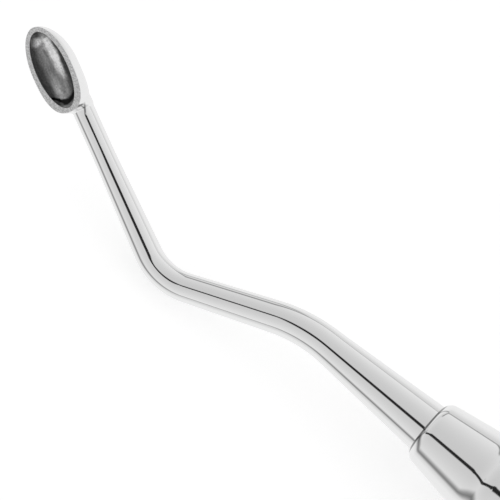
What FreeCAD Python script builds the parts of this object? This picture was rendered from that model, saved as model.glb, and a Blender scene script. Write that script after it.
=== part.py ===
import FreeCAD, Part
import math
import os

# A surgical curette: an oval cup with a flat ground rim on a tapered, twice bent round shank,
# whose tang is fixed in the bore of a plain round handle. Millimetres, Z up, handle along X.

# Handle, turned from one bar. It grows from a rounded nose by a cone and a shoulder to the grip.
handle_len = 128.0
grip_d = 9.5
nose_round_r = 1.1
nose_start_angle = 71.0
cone_angle = 9.4
cone_len = 4.8
shoulder_angle = 35.0
shoulder_hollow_share = 0.55
butt_round_r = 2.0

# Tang of the working end in the blind bore of the handle.
tang_len = 14.0
bore_clearance = 0.01
bore_end_gap = 0.5
drill_point_angle = 118.0

# Shank: straight, first bend away from the handle's axis, straight, elbow back over it, straight.
first_straight = 10.85
first_bend_r = 13.5
first_bend_angle = 22.7
middle_straight = 8.3
elbow_r = 5.2
elbow_angle = 50.7
last_straight = 12.65

# Shank diameters at the ends of its runs, from the nose of the handle to the neck of the cup.
shank_d_nose = 4.58
shank_d_first_bend = 3.11
shank_d_past_first_bend = 2.87
shank_d_elbow = 2.58
shank_d_past_elbow = 2.44
shank_d_neck = 1.97
neck_even_len = 3.5

# Cup: the flat rim is an oval, and the back runs on into the shank.
rim_len = 8.08
rim_width = 4.84
rim_face_width = 0.53
cup_depth = 2.34
cup_floor = 0.50
hollow_shift = 0.08
shank_below_rim = 1.54
neck_blend = 0.45
heel_fullness = 1.7
cup_roll = 20.0

# Places along the shank's centre line, measured from the nose of the handle.
first_bend_start = first_straight
first_bend_end = first_bend_start + first_bend_r * math.radians(first_bend_angle)
elbow_start = first_bend_end + middle_straight
elbow_end = elbow_start + elbow_r * math.radians(elbow_angle)
shank_end = elbow_end + last_straight
shank_diameters = [
    (0, shank_d_nose),
    (first_bend_start, shank_d_first_bend),
    (first_bend_end, shank_d_past_first_bend),
    (elbow_start, shank_d_elbow),
    (elbow_end, shank_d_past_elbow),
    (shank_end - neck_even_len, shank_d_neck),
    (shank_end, shank_d_neck),
]

V = FreeCAD.Vector
ALONG = V(1, 0, 0)
UP = V(0, 0, 1)


def run_on(point, heading, length):
    """The point reached by going straight on, in the bend plane."""
    angle = math.radians(heading)
    return point + V(math.cos(angle), math.sin(angle), 0) * length


def turn(point, heading, radius, angle):
    """The point and heading after a bend; a positive angle turns to +Y."""
    side = math.copysign(1, angle)
    centre = run_on(point, heading + 90 * side, radius)
    return run_on(centre, heading - 90 * side + angle, radius), heading + angle


def on_centre_line(place):
    """Point and heading in degrees of the shank's centre line at a distance from the nose."""
    point, heading = V(0, 0, 0), 0.0
    point = run_on(point, heading, min(place, first_bend_start))
    if place > first_bend_start:
        arc = min(place, first_bend_end) - first_bend_start
        point, heading = turn(point, heading, first_bend_r, math.degrees(arc / first_bend_r))
    if place > first_bend_end:
        point = run_on(point, heading, min(place, elbow_start) - first_bend_end)
    if place > elbow_start:
        arc = min(place, elbow_end) - elbow_start
        point, heading = turn(point, heading, elbow_r, -math.degrees(arc / elbow_r))
    if place > elbow_end:
        point = run_on(point, heading, place - elbow_end)
    return point, heading


def shank_radius(place):
    """Radius of the shank at a distance from the nose."""
    for (start, start_d), (end, end_d) in zip(shank_diameters, shank_diameters[1:]):
        if place <= end:
            return (start_d + (end_d - start_d) * (place - start) / (end - start)) / 2
    return shank_diameters[-1][1] / 2


def ring(centre, axis, across, width, height):
    """An ellipse as a closed wire; its first half size lies along the direction across."""
    up = axis.cross(across)
    if width >= height:
        ellipse = Part.Ellipse(centre + across * width, centre + up * height, centre)
    else:
        ellipse = Part.Ellipse(centre + up * height, centre - across * width, centre)
    return Part.Wire(ellipse.toShape())


def shank_ring(place):
    """Circle round the shank's centre line at a distance from the nose."""
    point, heading = on_centre_line(place)
    circle = Part.Circle(point, run_on(V(0, 0, 0), heading, 1), shank_radius(place))
    circle.XAxis = UP
    return Part.Wire(circle.toShape())


def shank_run(start, end):
    """One straight run or bend of the shank, swept along its centre line as it tapers."""
    first, first_heading = on_centre_line(start)
    middle, _ = on_centre_line((start + end) / 2)
    last, last_heading = on_centre_line(end)
    if math.isclose(first_heading, last_heading):
        spine = Part.LineSegment(first, last)
    else:
        spine = Part.Arc(first, middle, last)
    sweep = Part.BRepOffsetAPI.MakePipeShell(Part.Wire(spine.toShape()))
    sweep.add(shank_ring(start), False, False)
    sweep.add(shank_ring(end), False, False)
    sweep.build()
    sweep.makeSolid()
    return sweep.shape()


def shank():
    """The round shank from the nose of the handle to the neck of the cup."""
    places = [place for place, _ in shank_diameters]
    runs = [shank_run(start, end) for start, end in zip(places, places[1:])]
    return runs[0].fuse(runs[1:])


def tang():
    """The straight end of the shank inside the handle."""
    return Part.makeCylinder(shank_d_nose / 2, tang_len, V(-tang_len, 0, 0), ALONG)


def ellipsoid(length, width, depth):
    """Body with half sizes along X, Y and Z, centred on the cup's own origin."""
    ball = Part.makeSphere(1, V(0, 0, 0), ALONG, -90, 90, 360)
    stretch = FreeCAD.Matrix()
    stretch.scale(V(length, width, depth))
    return ball.transformGeometry(stretch)


def heel_section(share):
    """Section across the cup's heel half: share is 0 at the middle and 1 at the heel's end."""
    half_len = rim_len / 2
    neck_depth = shank_below_rim + shank_d_neck / 2
    back = cup_depth + (neck_depth - cup_depth) * share ** 2
    sink = share ** heel_fullness
    centre_depth = back / 2 * sink
    half_depth = back - centre_depth
    half_width = rim_width / 2 * (1 - sink / 2) * math.sqrt((1 - share ** 2) / (1 - sink))
    centre = V(-half_len * share, 0, -centre_depth)
    return ring(centre, ALONG, V(0, 1, 0), half_width, half_depth)


def neck_section(distance):
    """Circle of the shank at a distance behind the end of the rim."""
    centre = V(-rim_len / 2 - distance, 0, -shank_below_rim)
    return ring(centre, ALONG, V(0, 1, 0), shank_d_neck / 2, shank_d_neck / 2)


def cup():
    """Cup in its own frame: rim in the XY plane and centred on it, toe to +X, opening to +Z."""
    half_len = rim_len / 2
    toe = ellipsoid(half_len, rim_width / 2, cup_depth)
    ahead = Part.makeBox(2 * half_len, 2 * rim_width, 4 * cup_depth,
                         V(0, -rim_width, -2 * cup_depth))
    toe = toe.common(ahead)
    sections = [heel_section(share) for share in (0, 0.2, 0.4, 0.6, 0.78, 0.92)]
    sections += [neck_section(neck_blend), neck_section(2 * neck_blend)]
    heel = Part.makeLoft(sections[::-1], True, False)
    body = toe.fuse(heel)
    above = Part.makeBox(2 * rim_len, 2 * rim_width, 2 * cup_depth, V(-rim_len, -rim_width, 0))
    body = body.cut(above)
    hollow = ellipsoid(half_len - rim_face_width, rim_width / 2 - rim_face_width,
                       cup_depth - cup_floor)
    hollow.translate(V(hollow_shift, 0, 0))
    return body.cut(hollow)


def placed_cup():
    """The cup on the end of the shank, rolled about the shank so that it opens to the side."""
    end, heading = on_centre_line(shank_end)
    toe_way = run_on(V(0, 0, 0), heading, 1)
    elbow_side = run_on(V(0, 0, 0), heading + 90, 1)
    roll = math.radians(cup_roll)
    opening = UP * math.cos(roll) + elbow_side * math.sin(roll)
    across = opening.cross(toe_way)
    middle = end + toe_way * (2 * neck_blend + rim_len / 2) + opening * shank_below_rim
    turn_to = FreeCAD.Rotation(toe_way, across, opening, "XZY")
    shape = cup()
    shape.Placement = FreeCAD.Placement(middle, turn_to)
    return shape


def working_end():
    """Cup, shank and tang, forged in one and bent."""
    return shank().fuse([tang(), placed_cup()])


class Outline:
    """Outline of a turned piece, drawn from a start point back along the axis."""

    def __init__(self, start):
        self.point = start
        self.edges = []

    def line_to(self, point):
        self.edges.append(Part.LineSegment(self.point, point).toShape())
        self.point = point

    def round(self, radius, from_slope, to_slope, hollow=False):
        """Arc between two slopes, in degrees from the axis; a rising slope widens the piece."""
        reach = -radius if hollow else radius

        def at(slope):
            angle = math.radians(slope)
            return V(math.sin(angle), math.cos(angle), 0) * reach

        centre = self.point - at(from_slope)
        middle = centre + at((from_slope + to_slope) / 2)
        end = centre + at(to_slope)
        self.edges.append(Part.Arc(self.point, middle, end).toShape())
        self.point = end


def handle():
    """The handle: one outline from the mouth of the bore round to its blind end, turned."""
    cone = math.radians(cone_angle)
    shoulder = math.radians(shoulder_angle)
    mouth = V(0, shank_d_nose / 2 + bore_clearance, 0)
    outline = Outline(mouth)
    outline.round(nose_round_r, nose_start_angle, cone_angle)
    outline.line_to(outline.point + V(-math.cos(cone), math.sin(cone), 0) * cone_len)
    rise = grip_d / 2 - outline.point.y
    hollow_r = rise * shoulder_hollow_share / (math.cos(cone) - math.cos(shoulder))
    round_r = rise * (1 - shoulder_hollow_share) / (1 - math.cos(shoulder))
    outline.round(hollow_r, cone_angle, shoulder_angle, hollow=True)
    outline.round(round_r, shoulder_angle, 0)
    outline.line_to(V(butt_round_r - handle_len, grip_d / 2, 0))
    outline.round(butt_round_r, 0, -90)
    outline.line_to(V(-handle_len, 0, 0))
    bore_end = tang_len + bore_end_gap
    drill_tip = mouth.y / math.tan(math.radians(drill_point_angle / 2))
    outline.line_to(V(-bore_end - drill_tip, 0, 0))
    outline.line_to(V(-bore_end, mouth.y, 0))
    outline.line_to(mouth)
    face = Part.Face(Part.Wire(outline.edges))
    return face.revolve(V(0, 0, 0), ALONG, 360)


def rest_roll():
    """How far the bend plane is rolled down before the elbow lies on the surface with the grip."""
    outermost = elbow_start + elbow_r * math.radians(first_bend_angle)
    point, _ = on_centre_line(outermost)
    drop = grip_d / 2 - shank_radius(outermost)
    return math.degrees(math.asin(drop / point.y))


def laid_down(shapes):
    """Lays the pieces on the plane Z = 0 as they come to rest, centred on the origin."""
    for shape in shapes.values():
        shape.rotate(V(0, 0, 0), ALONG, -rest_roll())
    box = Part.makeCompound(list(shapes.values())).optimalBoundingBox()
    for shape in shapes.values():
        shape.translate(V(-box.Center.x, -box.Center.y, -box.ZMin))
    return shapes


os.makedirs("parts", exist_ok=True)
pieces = laid_down({"handle": handle(), "working_end": working_end()})
for node, shape in pieces.items():
    shape.exportStep("parts/%s.step" % node)
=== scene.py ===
import bmesh
import bpy
import math
from mathutils import Matrix, Vector


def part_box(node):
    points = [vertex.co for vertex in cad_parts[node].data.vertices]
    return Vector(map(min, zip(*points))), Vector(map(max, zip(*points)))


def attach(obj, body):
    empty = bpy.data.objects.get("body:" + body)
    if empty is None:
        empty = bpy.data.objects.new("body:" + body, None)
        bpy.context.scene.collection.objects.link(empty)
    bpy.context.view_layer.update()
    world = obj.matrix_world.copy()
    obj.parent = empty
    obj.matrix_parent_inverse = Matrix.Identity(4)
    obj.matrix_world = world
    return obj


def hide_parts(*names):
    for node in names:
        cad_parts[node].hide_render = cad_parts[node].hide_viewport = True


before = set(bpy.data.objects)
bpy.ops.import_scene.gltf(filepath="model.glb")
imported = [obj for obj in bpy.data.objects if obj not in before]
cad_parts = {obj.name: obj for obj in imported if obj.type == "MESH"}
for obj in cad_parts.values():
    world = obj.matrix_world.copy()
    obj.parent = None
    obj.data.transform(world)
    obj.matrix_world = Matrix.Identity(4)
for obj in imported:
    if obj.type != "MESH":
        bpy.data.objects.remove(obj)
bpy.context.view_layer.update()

# Sizes in millimetres, as the part's source names them. The work is drawn with the nose of the
# handle at the origin, the cup ahead along +X and the shank's bends in the XY plane.
grip_d = 9.5
handle_len = 128.0
nose_round_r = 1.1
nose_start_angle = 71.0
cone_angle = 9.4
cone_len = 4.8
shoulder_angle = 35.0
shoulder_hollow_share = 0.55
butt_round_r = 2.0
tang_len = 14.0
bore_clearance = 0.01
bore_end_gap = 0.5
drill_point_angle = 118.0

first_straight = 10.85
first_bend_r = 13.5
first_bend_angle = 22.7
middle_straight = 8.3
elbow_r = 5.2
elbow_angle = 50.7
last_straight = 12.65

shank_d_nose = 4.58
shank_d_first_bend = 3.11
shank_d_past_first_bend = 2.87
shank_d_elbow = 2.58
shank_d_past_elbow = 2.44
shank_d_neck = 1.97
neck_even_len = 3.5
taper_ease = 0.9

rim_len = 8.08
rim_width = 4.84
rim_face_width = 0.53
cup_depth = 2.34
cup_floor = 0.50
hollow_shift = 0.08
shank_below_rim = 1.54
neck_blend = 0.45
heel_fullness = 1.7
cup_roll = 20.0

# The rim's end by the neck: a blunter oval than the toe's, its half length, the way on from it to
# the plain neck, and how far the back is drawn in there.
heel_bluntness = 2.6
heel_half_len = 3.80
heel_reach = 0.30
heel_draw_in = 0.15
heel_last_share = 0.985

first_bend_start = first_straight
first_bend_end = first_bend_start + first_bend_r * math.radians(first_bend_angle)
elbow_start = first_bend_end + middle_straight
elbow_end = elbow_start + elbow_r * math.radians(elbow_angle)
shank_end = elbow_end + last_straight
shank_diameters = [
    (0, shank_d_nose),
    (first_bend_start, shank_d_first_bend),
    (first_bend_end, shank_d_past_first_bend),
    (elbow_start, shank_d_elbow),
    (elbow_end, shank_d_past_elbow),
    (shank_end - neck_even_len, shank_d_neck),
    (shank_end, shank_d_neck),
]

# Points and steps of the meshes, then lengths in millimetres and an angle in degrees.
ring_points = 96
shank_steps = 160
heel_steps = 36
heel_blend_steps = 24
toe_steps = 48
mouth_points = 160
hollow_steps = 40
turned_steps = 192
shading_strip = 0.2
weld_distance = 1e-5
sharp_angle = 32

MM = 0.001
X, Z = Vector((1, 0, 0)), Vector((0, 0, 1))

# Camera, fixed in the frame.
camera_place = Vector((3.8493, 183.6692, 362.4769)) * MM
camera_forward = Vector((0.142005, -0.456490, -0.878323))
camera_up = Vector((0.632542, -0.640668, 0.435242))
camera_lens = 343.46
camera_sensor = 36
camera_near = 0.01

camera_forward.normalize()
camera_right = camera_forward.cross(camera_up).normalized()
camera_up = camera_right.cross(camera_forward)
camera = bpy.data.objects.new("camera", bpy.data.cameras.new("camera"))
camera.data.sensor_width = camera_sensor
camera.data.lens = camera_lens
camera.data.clip_start = camera_near
camera.matrix_world = Matrix.Translation(camera_place) @ Matrix(
    (camera_right, camera_up, -camera_forward)).transposed().to_4x4()
bpy.context.scene.collection.objects.link(camera)
bpy.context.scene.camera = camera


class Wire:
    """One output of a shader's nodes, used in plain expressions."""

    def __init__(self, tree, socket=None):
        self.tree = tree
        self.socket = socket

    def node(self, kind, settings=None, inputs=None, output=0):
        """Adds a node: first its settings, then the values or links of its sockets."""
        made = self.tree.nodes.new(kind)
        for name, value in (settings or {}).items():
            setattr(made, name, value)
        for name, value in (inputs or {}).items():
            if isinstance(value, Wire):
                self.tree.links.new(value.socket, made.inputs[name])
            else:
                made.inputs[name].default_value = value
        return Wire(self.tree, made.outputs[output] if len(made.outputs) else made)

    def maths(self, operation, *values):
        return self.node("ShaderNodeMath", {"operation": operation}, dict(enumerate(values)))

    def __add__(self, other):
        return self.maths("ADD", self, other)

    def __radd__(self, other):
        return self.maths("ADD", other, self)

    def __sub__(self, other):
        return self.maths("SUBTRACT", self, other)

    def __rsub__(self, other):
        return self.maths("SUBTRACT", other, self)

    def __mul__(self, other):
        return self.maths("MULTIPLY", self, other)

    def __rmul__(self, other):
        return self.maths("MULTIPLY", other, self)

    def __truediv__(self, other):
        return self.maths("DIVIDE", self, other)

    def __abs__(self):
        return self.maths("ABSOLUTE", self)

    def at_least(self, low):
        return self.maths("MAXIMUM", self, low)

    def at_most(self, high):
        return self.maths("MINIMUM", self, high)

    def rise(self, low, high):
        """A smooth step from 0 below low to 1 above high."""
        return self.node("ShaderNodeMapRange", {"interpolation_type": "SMOOTHSTEP"},
                         {"Value": self, "From Min": low, "From Max": high})

    def dot(self, direction):
        return self.node("ShaderNodeVectorMath", {"operation": "DOT_PRODUCT"},
                         {0: self, 1: tuple(direction)}, output="Value")

    def blend(self, low, high):
        """A colour between two, by this value."""
        return self.node("ShaderNodeMix", {"data_type": "RGBA"},
                         {"Factor": self, 6: low, 7: high}, output=2)


# The light tent, by the direction from the object: u to the camera's right, v to its top and w
# towards it. The dark gap between the front walls is a line of places (u, v, half width).
gap_line = [
    (0.10, 0.02, 0.05),
    (-0.08, -0.045, 0.09),
    (-0.20, -0.03, 0.08),
    (-0.375, 0.13, 0.105),
    (-0.435, 0.22, 0.065),
    (-0.475, 0.265, 0.03),
    (-0.525, 0.24, 0.07),
    (-0.62, 0.31, 0.05),
    (-0.88, 0.50, 0.04),
]
gap_soft_start, gap_soft_end = 0.7, 1.3
gap_fade_in = 0.15
gap_darkness = 0.97

# The seam where the front walls end, as w over u, below the object and above it: a slope and a
# start, the upper one with a curve too, then how its half width changes along u in the same way.
low_seam_slope, low_seam_start = 0.322, 0.348
high_seam_curve, high_seam_slope, high_seam_start = 1.063, -0.595, -0.017
low_half_slope, low_half_start = -0.505, -0.273
high_half_slope, high_half_start = -0.135, 0.085
seam_thinnest = 0.004
seam_soft_reach = 1.6
seam_darkness = 0.66

# To the camera's left the seam dips further behind the object, wider and darker.
dip_depth = 0.62
dip_half_width = 0.24
dip_darkness = 0.22

# A second, short seam at the top, where v is past about a half: its w rises with u.
side_seam_slope, side_seam_start = 0.80, -0.44
side_seam_half_width = 0.06
side_seam_darkness = 0.55

# Light of the front walls, with its changes along u, v and w, and of the walls behind, which
# grow brighter over a reach past the seam.
front_light = 0.913
front_light_u, front_light_v, front_light_w = 0.107, -0.106, -0.225
back_light, back_light_gain, back_light_reach = 0.686, 0.231, 0.6
wall_edge = 0.02

# The table, half its width in metres, its grey, and its lift to white in the camera's eye.
floor_half_size = 3.0
floor_grey = 0.70
floor_lift = 0.54


# The steel: its grey, how rough its finishes are, and how dark its painted shade and painted
# reflection are.
# The line of painted shade in the joint's crevice runs round the bore's mouth, from a start to
# full darkness, in millimetres behind the mouth.
steel_grey = 0.89
polish_roughness_least = 0.038
matt_roughness = 0.42
painted_shade_and_reflection_darkness = 0.75
crevice_shade_start, crevice_shade_full = 0.25, 0.14
crevice_shade_darkness = 0.82


def grey(value):
    return (value, value, value, 1)


def gap_ratio(u, v, start, end):
    """How many half widths a direction lies from one stretch of the gap: each end is given by
    its place in the picture plane and the gap's half width there."""
    (x, y, width), (end_x, end_y, end_width) = start, end
    along = Vector((end_x - x, end_y - y))
    length = along.length
    along.normalize()
    du, dv = u - x, v - y
    run = du * along.x + dv * along.y
    run = run.at_least(0.0).at_most(length)
    off_u, off_v = du - run * along.x, dv - run * along.y
    off = off_u * off_u + off_v * off_v
    return off.maths("SQRT", off) / (run * ((end_width - width) / length) + width)


def seam_mark(off, half):
    """1 on a seam, falling softly to 0 past its half width on either side."""
    return 1 - (abs(off) / half).rise(0.0, seam_soft_reach)


def studio():
    """A white light tent round the camera's line: two soft front walls with a dark gap between
    them, a thin dark seam where they end, a short seam at the top, and white all round behind.
    The camera itself sees plain white."""
    world = bpy.data.worlds.new("studio")
    bpy.context.scene.world = world
    world.use_nodes = True
    tree = world.node_tree
    tree.nodes.clear()
    here = Wire(tree)
    way = here.node("ShaderNodeTexCoord", output="Generated")
    u, v, w = way.dot(camera_right), way.dot(camera_up), way.dot(-camera_forward)
    ratios = [gap_ratio(u, v, a, b) for a, b in zip(gap_line, gap_line[1:])]
    ratio = ratios[0]
    for other in ratios[1:]:
        ratio = ratio.at_most(other)
    gap = (1 - ratio.rise(gap_soft_start, gap_soft_end)) * w.rise(0.0, gap_fade_in)

    upper = (u + v).rise(-0.5, 0.5)
    ahead = u.at_least(0.0)
    dip = 1 - abs(u + v).rise(0.2, 1.2)
    dip = dip * (1 - u.rise(-0.35, -0.05)) * (1 - v.rise(0.4, 0.6))
    low_seam = u * low_seam_slope + low_seam_start
    high_seam = ahead * ahead * high_seam_curve + ahead * high_seam_slope + high_seam_start
    behind = low_seam + (high_seam - low_seam) * upper - dip * dip_depth - w
    low_half = u * low_half_slope + low_half_start
    high_half = ahead * high_half_slope + high_half_start
    half = low_half + (high_half - low_half) * upper
    half = half + (dip_half_width - half) * dip
    seam = seam_mark(behind, half.at_least(seam_thinnest)) * (dip * dip_darkness + seam_darkness)
    seam = seam * (1 - (1 - u.rise(-0.18, -0.06)) * v.rise(0.5, 0.65))

    side_seam = seam_mark(w - u * side_seam_slope - side_seam_start, side_seam_half_width)
    side_seam = side_seam * (1 - u.rise(0.22, 0.34)) * v.rise(0.4, 0.6) * side_seam_darkness

    front = w.at_least(0.0) * front_light_w + front_light + u * front_light_u + v * front_light_v
    back = behind.rise(0.0, back_light_reach) * back_light_gain + back_light
    light = front + (back - front) * behind.rise(-wall_edge, wall_edge)
    light = light * (1 - seam) * (1 - side_seam) * (1 - gap * gap_darkness)
    seen = here.node("ShaderNodeLightPath", output="Is Camera Ray")
    light = light + (1 - light) * seen
    ground = here.node("ShaderNodeBackground", inputs={"Color": grey(1), "Strength": light})
    here.node("ShaderNodeOutputWorld", inputs={"Surface": ground})


def floor():
    """The white table: it takes the object's shadow, and the steel mirrors the tent instead."""
    bm = bmesh.new()
    bmesh.ops.create_grid(bm, x_segments=1, y_segments=1, size=floor_half_size)
    mesh = bpy.data.meshes.new("floor")
    bm.to_mesh(mesh)
    bm.free()
    sheet = bpy.data.objects.new("floor", mesh)
    sheet.visible_glossy = False
    bpy.context.scene.collection.objects.link(sheet)
    material = bpy.data.materials.new("white table")
    material.use_nodes = True
    tree = material.node_tree
    tree.nodes.clear()
    here = Wire(tree)
    matt = here.node("ShaderNodeBsdfDiffuse", inputs={"Color": grey(floor_grey)})
    seen = here.node("ShaderNodeLightPath", output="Is Camera Ray")
    lift = here.node("ShaderNodeEmission",
                     inputs={"Color": grey(1), "Strength": seen * floor_lift})
    both = here.node("ShaderNodeAddShader", inputs={0: matt, 1: lift})
    here.node("ShaderNodeOutputMaterial", inputs={"Surface": both})
    mesh.materials.append(material)


def steel(name, base, roughness):
    """A metal finish: base is a function of the place, and roughness is one too or a number."""
    material = bpy.data.materials.new(name)
    material.use_nodes = True
    tree = material.node_tree
    tree.nodes.clear()
    here = Wire(tree)
    place = here.node("ShaderNodeTexCoord", output="Object")
    surface = here.node("ShaderNodeBsdfPrincipled", inputs={
        "Metallic": 1.0,
        "Base Color": base(place),
        "Roughness": roughness(place) if callable(roughness) else roughness})
    here.node("ShaderNodeOutputMaterial", inputs={"Surface": surface})
    return material


def noise(place, scale, detail=2.0, roughness=0.5):
    return place.node("ShaderNodeTexNoise", inputs={
        "Vector": place, "Scale": scale, "Detail": detail, "Roughness": roughness})


def stretched(place, sizes):
    """Coordinates that run at different rates along X, Y and Z."""
    return place.node("ShaderNodeMapping", {"vector_type": "POINT"},
                      {"Vector": place, "Scale": sizes})


def run_on(point, heading, length):
    """The point reached by going straight on, in the bend plane."""
    angle = math.radians(heading)
    return point + Vector((math.cos(angle), math.sin(angle), 0)) * length


def turn(point, heading, radius, angle):
    """The point and heading after a bend; a positive angle turns to +Y."""
    side = math.copysign(1, angle)
    centre = run_on(point, heading + 90 * side, radius)
    return run_on(centre, heading - 90 * side + angle, radius), heading + angle


def on_centre_line(place):
    """Point and heading in degrees of the shank's centre line at a distance from the nose."""
    point, heading = Vector((0, 0, 0)), 0.0
    point = run_on(point, heading, min(place, first_bend_start))
    if place > first_bend_start:
        arc = min(place, first_bend_end) - first_bend_start
        point, heading = turn(point, heading, first_bend_r, math.degrees(arc / first_bend_r))
    if place > first_bend_end:
        point = run_on(point, heading, min(place, elbow_start) - first_bend_end)
    if place > elbow_start:
        arc = min(place, elbow_end) - elbow_start
        point, heading = turn(point, heading, elbow_r, -math.degrees(arc / elbow_r))
    if place > elbow_end:
        point = run_on(point, heading, place - elbow_end)
    return point, heading


def tapered_radius(place):
    """Radius of the shank's plain tapers at a distance from the nose."""
    place = min(max(place, 0), shank_end)
    for (start, start_d), (end, end_d) in zip(shank_diameters, shank_diameters[1:]):
        if place <= end:
            return (start_d + (end_d - start_d) * (place - start) / (end - start)) / 2
    return shank_diameters[-1][1] / 2


def shank_radius(place):
    """The tapers, eased into each other where they meet."""
    reach = min(taper_ease, abs(place), abs(shank_end - place))
    parts = [tapered_radius(place + reach * step / 4) for step in range(-4, 5)]
    return sum(parts) / len(parts)


def shank_station(place):
    """Matrix that puts a unit ring round the shank at a distance from the nose."""
    point, heading = on_centre_line(place)
    radius = shank_radius(place)
    return (Matrix.Translation(point) @ Matrix.Rotation(math.radians(heading), 4, "Z")
            @ Matrix.Rotation(math.radians(-cup_roll), 4, "X")
            @ Matrix.Diagonal((1, radius, radius, 1)))


def cup_frame():
    """Matrix from the cup's own axes: toe to +X, opening to +Z, rim centre at the origin."""
    end, heading = on_centre_line(shank_end)
    axes = (Matrix.Rotation(math.radians(heading), 4, "Z")
            @ Matrix.Rotation(math.radians(-cup_roll), 4, "X"))
    middle = axes @ Vector((2 * neck_blend + rim_len / 2, 0, shank_below_rim))
    return Matrix.Translation(end + middle) @ axes


def lying():
    """Matrix from millimetres at the bench to the object as it lies in the frame."""
    low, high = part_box("handle")
    reach = (low + high) / 2
    outermost = elbow_start + elbow_r * math.radians(first_bend_angle)
    drop = grip_d / 2 - shank_radius(outermost)
    roll = math.asin(drop / on_centre_line(outermost)[0].y)
    return (Matrix.Translation((high.x, reach.y, reach.z)) @ Matrix.Rotation(-roll, 4, "X")
            @ Matrix.Scale(MM, 4))


CUP = cup_frame()
LYING = lying()


def cup_place(place):
    """Millimetres along the cup towards its toe, across it and up out of it."""
    to_cup = (LYING @ CUP).inverted()
    rows = [(Vector(to_cup[i][:3]), to_cup[i][3]) for i in range(3)]
    return [place.dot(row) + shift for row, shift in rows]


def wall_level(across, up):
    """Millimetres across the cup's wall, seen from the camera: positive on its far side."""
    return across * -0.709 - up * 0.705


def bump(value, middle, reach):
    """1 at the middle, falling softly to 0 at a reach to either side."""
    return 1 - (abs(value - middle) / reach).rise(0.25, 1.0)


def polish(place, direction_rates):
    """Roughness of polished steel: a soft cloudiness and fine lines along one direction."""
    lines = noise(stretched(place, direction_rates), 1.0, 3.0)
    return noise(place, 900.0) * 0.02 + lines * 0.02 + polish_roughness_least


def polished_base(place):
    """Bright steel, with painted shade of a small groove where the cup meets the shank, and a
    painted reflection of a thin dark line on the neck's blend.
    """
    along, across, up = cup_place(place)
    level = wall_level(across, up)
    # painted shade of a small groove on the upper side of the neck
    painted_groove_shade = bump(along, -3.66, 0.13) * bump(level, 0.92, 0.50) * up.rise(-1.1, -0.8)
    # painted reflection: a thin dark line slanting across the neck's blend, continuing a
    # reflected line
    painted_line_reflection = bump(level, along * 0.35 + 2.63, 0.13) * bump(along, -4.10, 0.65) * up.rise(-1.5, -1.2)
    bare = (1 - painted_groove_shade * painted_shade_and_reflection_darkness) * (1 - painted_line_reflection * painted_shade_and_reflection_darkness)
    return bare.blend(grey(0.0), grey(steel_grey))


def polish_roughness(place):
    """Polished along the handle's direction."""
    return polish(place, (250, 7000, 7000))


def turned_base(place):
    """Bright steel, with a fine line of painted shade in the crevice round the mouth of the bore.
    """
    ahead = place.dot(X) / MM - LYING.translation.x / MM
    # painted shade: darker within a fraction of a millimetre behind the bore's mouth
    bare = 1 - ahead.rise(-crevice_shade_start, -crevice_shade_full) * crevice_shade_darkness
    return bare.blend(grey(0.0), grey(steel_grey))


def turned_roughness(place):
    """Turned: fine rings round the handle's axis."""
    return polish(place, (9000, 250, 250))


def rim_base(place):
    """The flat rim, ground matt: a fine grain and short lines across it."""
    grain = noise(place, 9000.0, 4.0, 0.7)
    lines = noise(stretched(place, (4000, 16000, 4000)), 1.0, 3.0)
    return (grain * 0.6 + lines * 0.4).rise(0.36, 0.64).blend(grey(0.56), grey(0.96))


def hollow_grain_and_painted_light(place):
    """The milled hollow: painted light and shade along its walls, with brushed streaks and grain
    over them; a painted highlight streak, painted dark bands, and a painted shaded crescent with
    a lighter end by the neck.
    """
    along, across, up = cup_place(place)
    lengthwise = along.node("ShaderNodeCombineXYZ", inputs={
        "X": along * 0.5, "Y": across * 4.0, "Z": up * 4.0})
    brush = noise(lengthwise, 1.0, 3.0, 0.6)
    grain = noise(place, 6000.0, 4.0, 0.75)
    wander = (noise(place, 900.0, 3.0) - 0.5) * 0.7
    level = wall_level(across, up) + wander
    toe_part = along.rise(-1.6, 0.4)
    tone = 0.36 - toe_part * 0.08
    # painted highlight: a light streak along the lower part of the far wall, stronger towards the
    # toe
    painted_highlight_streak = bump(level, toe_part * -0.10 + 0.78, toe_part * 0.22 + 0.34)
    tone = tone + painted_highlight_streak * (toe_part * 0.50 + 0.06)
    # painted light: a lighter band lower on the wall towards the heel
    tone = tone + bump(level, -0.15, 0.50) * (1 - toe_part) * 0.26
    # painted shade: the near wall darker
    tone = tone * (1 - (level * -1).rise(0.45, 0.80) * 0.32)
    # painted reflection: a dark band on the far wall near the rim
    tone = tone * (1 - bump(level, toe_part * 0.14 + 1.14, 0.62 - toe_part * 0.26) * 0.66)
    end = along + wander
    # painted shade at the toe end, with a painted light patch there
    tone = tone * (1 - end.rise(2.7, 2.95) * level.rise(-0.35, -0.05) * 0.45)
    tone = tone + bump(end, 2.78, 0.42) * bump(level, -0.2, 0.9) * 0.50
    # painted shade: a dark crescent near the end by the neck, and past it a painted lighter patch
    curve = level - 0.15
    tone = tone * (1 - bump(end - curve * curve * 0.6, -2.86, 0.42) * 0.96)
    tone = tone + (1 - end.rise(-3.25, -3.0)) * 0.30
    return tone * (brush.rise(0.25, 0.75) * 0.5 + 0.75) * (grain.rise(0.2, 0.8) * 0.6 + 0.7)


def hollow_base(place):
    """The hollow's painted light and shade, with its brushed streaks and grain, as a grey."""
    return hollow_grain_and_painted_light(place).blend(grey(0.0), grey(1.0))


mirror_steel = steel("polished steel", polished_base, polish_roughness)
turned_steel = steel("turned and polished steel", turned_base, turned_roughness)
ground_steel = steel("ground rim", rim_base, matt_roughness)
milled_steel = steel("milled hollow", hollow_base, matt_roughness)


def cup_station(along, below, half_width, half_depth):
    """Matrix that puts a unit ring round the cup at a place along its own axis."""
    return (CUP @ Matrix.Translation((along, 0, -below))
            @ Matrix.Diagonal((1, half_width, half_depth, 1)))


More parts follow.
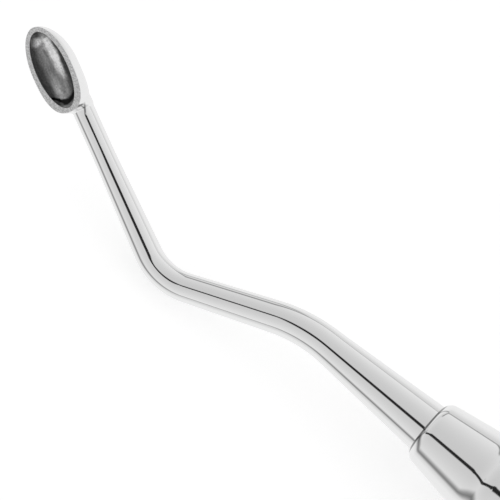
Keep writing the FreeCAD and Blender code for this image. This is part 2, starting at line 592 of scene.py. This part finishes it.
def heel_sizes(share):
    """Depth of centre, half width and half depth of the cup's heel half; share 1 is the end of
    the blunt rim, a little short of the plain oval."""
    oval_share = share * heel_half_len / (rim_len / 2)
    neck_depth = shank_below_rim + shank_d_neck / 2
    back = cup_depth + (neck_depth - cup_depth) * oval_share ** 2
    sink = oval_share ** heel_fullness
    half_width = rim_width / 2 * (1 - sink / 2)
    half_width *= math.sqrt((1 - oval_share ** 2) / (1 - sink))
    half_width *= 1 - heel_draw_in * oval_share ** 6
    rim = rim_width / 2 * (1 - share ** heel_bluntness) ** (1 / heel_bluntness)
    half_width = max(half_width, rim)
    cut = math.sqrt(1 - (rim / half_width) ** 2)
    return Vector((back * cut / (1 + cut), half_width, back / (1 + cut)))


def eased(start, start_rise, end, share):
    """Cubic from start, with its rise, to end, with none."""
    a, b = share, 1 - share
    return (start * (1 + 2 * a) * b * b + start_rise * a * b * b + end * (1 + 2 * b) * a * a)


def cup_stations():
    """The cup's outer rings from the neck to just short of the toe."""
    half_len = rim_len / 2
    neck = Vector((shank_below_rim, shank_d_neck / 2, shank_d_neck / 2))
    last = heel_sizes(heel_last_share)
    reach = heel_half_len * (1 - heel_last_share) + heel_reach
    rise = (last - heel_sizes(heel_last_share - 0.001)) / 0.001
    rise *= reach / heel_half_len
    stations = [cup_station(-half_len - 1.5 * neck_blend, *neck)]
    for step in range(heel_blend_steps, 0, -1):
        share = step / heel_blend_steps
        sizes = eased(last, rise, neck, share)
        stations.append(cup_station(-heel_half_len * heel_last_share - reach * share, *sizes))
    last_angle = math.asin(heel_last_share)
    for step in range(heel_steps, 0, -1):
        share = math.sin(last_angle * step / heel_steps)
        stations.append(cup_station(-heel_half_len * share, *heel_sizes(share)))
    for step in range(toe_steps):
        angle = math.radians(90 * step / toe_steps)
        size = math.cos(angle)
        stations.append(cup_station(half_len * math.sin(angle), 0,
                                    rim_width / 2 * size, cup_depth * size))
    return stations


def new_ring(bm, station, points):
    """The edges of a ring of so many points at a station."""
    upright = Matrix.Rotation(math.radians(90), 4, "Y")
    made = bmesh.ops.create_circle(bm, segments=points, radius=1, matrix=station @ upright)
    return list({edge for vert in made["verts"] for edge in vert.link_edges})


def sweep(bm, edges, stations):
    """Draws a ring on from the first station through the others and returns the last ring."""
    for here, there in zip(stations, stations[1:]):
        made = bmesh.ops.extrude_edge_only(bm, edges=edges)["geom"]
        verts = [item for item in made if isinstance(item, bmesh.types.BMVert)]
        edges = [item for item in made if isinstance(item, bmesh.types.BMEdge)]
        edges = [edge for edge in edges if all(vert in verts for vert in edge.verts)]
        bmesh.ops.transform(bm, matrix=there @ here.inverted(), verts=verts)
    return edges


def ring_verts(edges):
    """The corners of a ring, each once."""
    return list({vert for edge in edges for vert in edge.verts})


def finished(bm, name, materials):
    """Turns millimetres at the bench into the object as it lies in the frame."""
    bmesh.ops.remove_doubles(bm, verts=bm.verts, dist=weld_distance)
    bmesh.ops.recalc_face_normals(bm, faces=bm.faces)
    bmesh.ops.transform(bm, matrix=LYING, verts=bm.verts)
    mesh = bpy.data.meshes.new(name)
    bm.to_mesh(mesh)
    bm.free()
    mesh.shade_smooth()
    mesh.set_sharp_from_angle(angle=math.radians(sharp_angle))
    for material in materials:
        mesh.materials.append(material)
    piece = bpy.data.objects.new(name, mesh)
    bpy.context.scene.collection.objects.link(piece)
    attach(piece, "root")
    return piece


def working_end():
    """Tang, shank and cup in one: a ring drawn from the tang's end to the toe, the rim cut
    flat, and the hollow set in it."""
    bm = bmesh.new()
    places = [-tang_len, -tang_len + shading_strip, -shading_strip]
    places += [shank_end * step / shank_steps for step in range(shank_steps + 1)]
    stations = [shank_station(place) for place in places]
    shank_ring = new_ring(bm, stations[0], ring_points)
    bmesh.ops.contextual_create(bm, geom=shank_ring)
    neck = sweep(bm, shank_ring, stations)
    shank_faces = set(bm.faces)
    toe = sweep(bm, neck, [stations[-1]] + cup_stations())
    toe_tip = CUP @ Vector((rim_len / 2, 0, 0))
    bmesh.ops.pointmerge(bm, verts=ring_verts(toe), merge_co=toe_tip)

    cup_faces = [face for face in bm.faces if face not in shank_faces]
    cup_edges = {edge for face in cup_faces for edge in face.edges}
    cup_verts = {vert for face in cup_faces for vert in face.verts}
    opening = CUP.to_3x3() @ Z
    bmesh.ops.bisect_plane(bm, geom=[*cup_verts, *cup_edges, *cup_faces], dist=weld_distance,
                           plane_co=CUP.translation, plane_no=opening, clear_outer=True)

    inner_len = rim_len / 2 - rim_face_width
    inner_width = rim_width / 2 - rim_face_width
    depth = cup_depth - cup_floor
    hollow = []
    for step in range(hollow_steps):
        angle = math.radians(90 * step / hollow_steps)
        size = math.cos(angle)
        hollow.append(CUP @ Matrix.Translation((hollow_shift, 0, -depth * math.sin(angle)))
                      @ Matrix.Diagonal((inner_len * size, inner_width * size, 1, 1)))
    made = bmesh.ops.create_circle(bm, segments=mouth_points, radius=1, matrix=hollow[0])
    mouth = list({edge for vert in made["verts"] for edge in vert.link_edges})
    before = set(bm.faces)
    bottom = sweep(bm, mouth, hollow)
    bmesh.ops.pointmerge(bm, verts=ring_verts(bottom),
                         merge_co=CUP @ Vector((hollow_shift, 0, -depth)))
    hollow_faces = [face for face in bm.faces if face not in before]
    for face in hollow_faces:
        face.material_index = 2
    before = set(bm.faces)
    rims = [edge for edge in bm.edges if edge.is_boundary]
    bmesh.ops.bridge_loops(bm, edges=rims)
    for face in bm.faces:
        if face not in before:
            face.material_index = 1
    piece = finished(bm, "curette_working_end", [mirror_steel, ground_steel, milled_steel])
    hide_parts("working_end")


class Outline:
    """Outline of a turned piece, drawn from a start point back along the axis."""

    def __init__(self, bm, start):
        self.bm = bm
        self.tip = bm.verts.new(start)
        self.edges = []

    def line_to(self, point):
        """A straight stretch, with a short first and last step so that its shading stays flat."""
        point = Vector(point)
        start = self.tip.co.copy()
        way = point - start
        short = min(0.15, way.length / 4)
        for stop in (start + way.normalized() * short, point - way.normalized() * short, point):
            fresh = self.bm.verts.new(stop)
            self.edges.append(self.bm.edges.new((self.tip, fresh)))
            self.tip = fresh

    def round(self, radius, from_slope, to_slope, hollow=False, steps=24):
        """Arc between two slopes, in degrees from the axis; a rising slope widens the piece."""
        reach = -radius if hollow else radius
        angle = math.radians(from_slope)
        centre = self.tip.co - Vector((math.sin(angle), math.cos(angle), 0)) * reach
        made = bmesh.ops.spin(self.bm, geom=[self.tip], cent=centre, axis=Z,
                              angle=math.radians(from_slope - to_slope), steps=steps)
        self.edges += [item for item in self.bm.edges if item not in self.edges]
        self.tip = made["geom_last"][0]


def handle():
    """The handle: one outline from the mouth of the bore round to its blind end, turned."""
    bm = bmesh.new()
    cone = math.radians(cone_angle)
    shoulder = math.radians(shoulder_angle)
    bore_r = shank_d_nose / 2 + bore_clearance
    outline = Outline(bm, (0, bore_r, 0))
    outline.round(nose_round_r, nose_start_angle, cone_angle)
    back_along_cone = Vector((-math.cos(cone), math.sin(cone), 0))
    outline.line_to(outline.tip.co + back_along_cone * cone_len)
    rise = grip_d / 2 - outline.tip.co.y
    hollow_r = rise * shoulder_hollow_share / (math.cos(cone) - math.cos(shoulder))
    round_r = rise * (1 - shoulder_hollow_share) / (1 - math.cos(shoulder))
    outline.round(hollow_r, cone_angle, shoulder_angle, hollow=True)
    outline.round(round_r, shoulder_angle, 0)
    outline.line_to((butt_round_r - handle_len, grip_d / 2, 0))
    outline.round(butt_round_r, 0, -90)
    outline.line_to((-handle_len, 0, 0))
    bore_end = tang_len + bore_end_gap
    drill_tip = bore_r / math.tan(math.radians(drill_point_angle / 2))
    bmesh.ops.spin(bm, geom=list(bm.edges), cent=(0, 0, 0), axis=X, angle=math.tau,
                   steps=turned_steps, use_merge=True)
    bore = Outline(bm, (0, bore_r, 0))
    bore.line_to((-bore_end, bore_r, 0))
    bore.line_to((-bore_end - drill_tip, 0, 0))
    bmesh.ops.spin(bm, geom=bore.edges, cent=(0, 0, 0), axis=X, angle=math.tau,
                   steps=turned_steps, use_merge=True)
    piece = finished(bm, "curette_handle", [turned_steel])
    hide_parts("handle")


studio()
floor()
working_end()
handle()

view = bpy.context.scene.view_settings
view.view_transform = "Standard"
